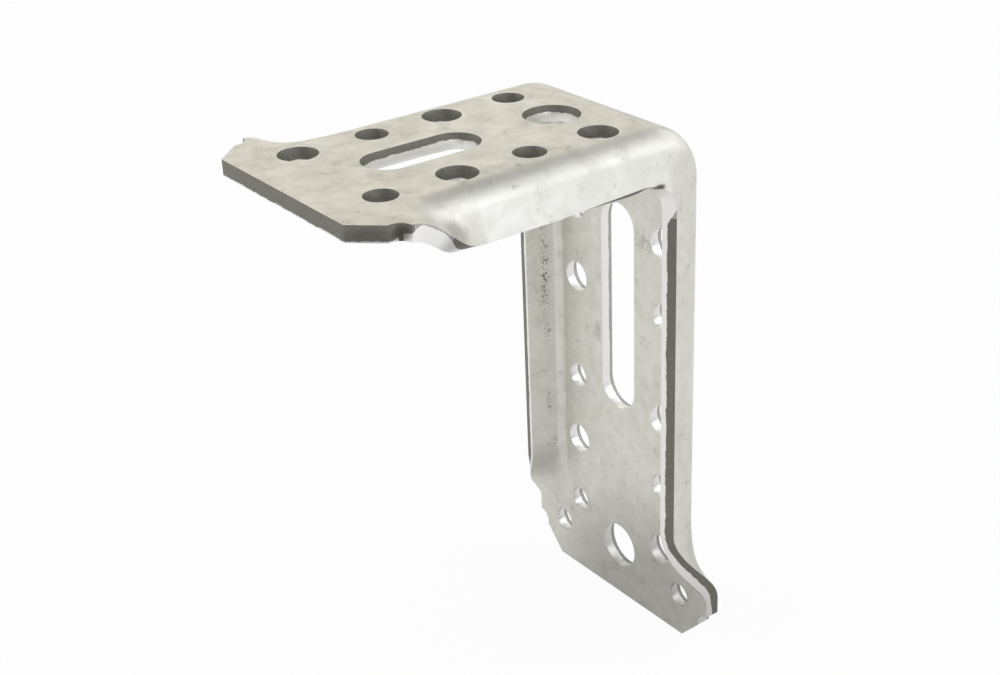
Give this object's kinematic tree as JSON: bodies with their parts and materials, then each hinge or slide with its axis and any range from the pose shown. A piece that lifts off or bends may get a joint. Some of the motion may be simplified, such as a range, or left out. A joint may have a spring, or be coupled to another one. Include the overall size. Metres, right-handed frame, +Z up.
{
  "type": "angle bracket",
  "caption": "Folded steel angle bracket with turned-in sides, flat feet, slots, bolt holes and rows of screw holes in both legs.",
  "frame": {"origin": "centre of the main bolt hole in the long leg, on the leg's inner face", "axes": "+Z up along the long leg to the heel, -X along the short leg to its free end, Y across the strip"},
  "size_m": [0.0992, 0.072, 0.147],
  "materials": {
    "steel": "hot-dip galvanised sheet, mottled pale grey, with darker sheared edges"
  },
  "bodies": {
    "root": {"angle_bracket": "steel"}
  },
  "joints": []
}
